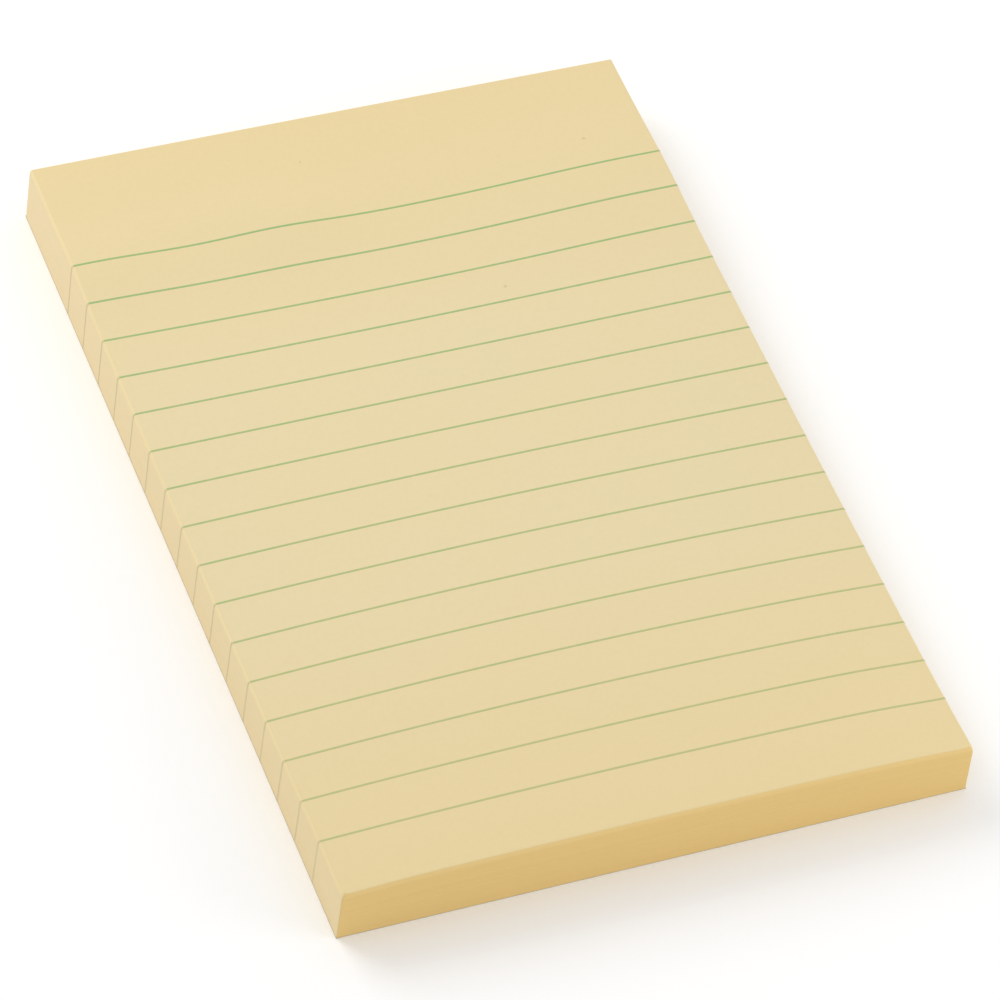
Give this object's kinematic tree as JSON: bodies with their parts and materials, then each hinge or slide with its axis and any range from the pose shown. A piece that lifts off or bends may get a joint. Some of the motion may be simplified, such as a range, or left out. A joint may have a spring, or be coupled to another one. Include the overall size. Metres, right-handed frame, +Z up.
{
  "type": "lined sticky note pad",
  "caption": "Pad of pale yellow ruled notes glued along the head, with a blank header, green ruling that runs off both long edges and a plain backing sheet.",
  "frame": {"origin": "middle of the pad's underside", "axes": "+X across the page to its right edge, +Y up the page to its glued head, +Z up out of the page"},
  "size_m": [0.1016, 0.1524, 0.0111],
  "materials": {
    "note_paper": "uncoated, matt",
    "ruling_ink": "printed line, matt",
    "edge_print": "faint ends of printed lines on cut paper",
    "backing_paper": "uncoated, matt"
  },
  "bodies": {
    "root": {"note_sheets": "note_paper", "ruled_lines": "ruling_ink", "edge_marks": "edge_print", "backing_sheet": "backing_paper"}
  },
  "joints": []
}
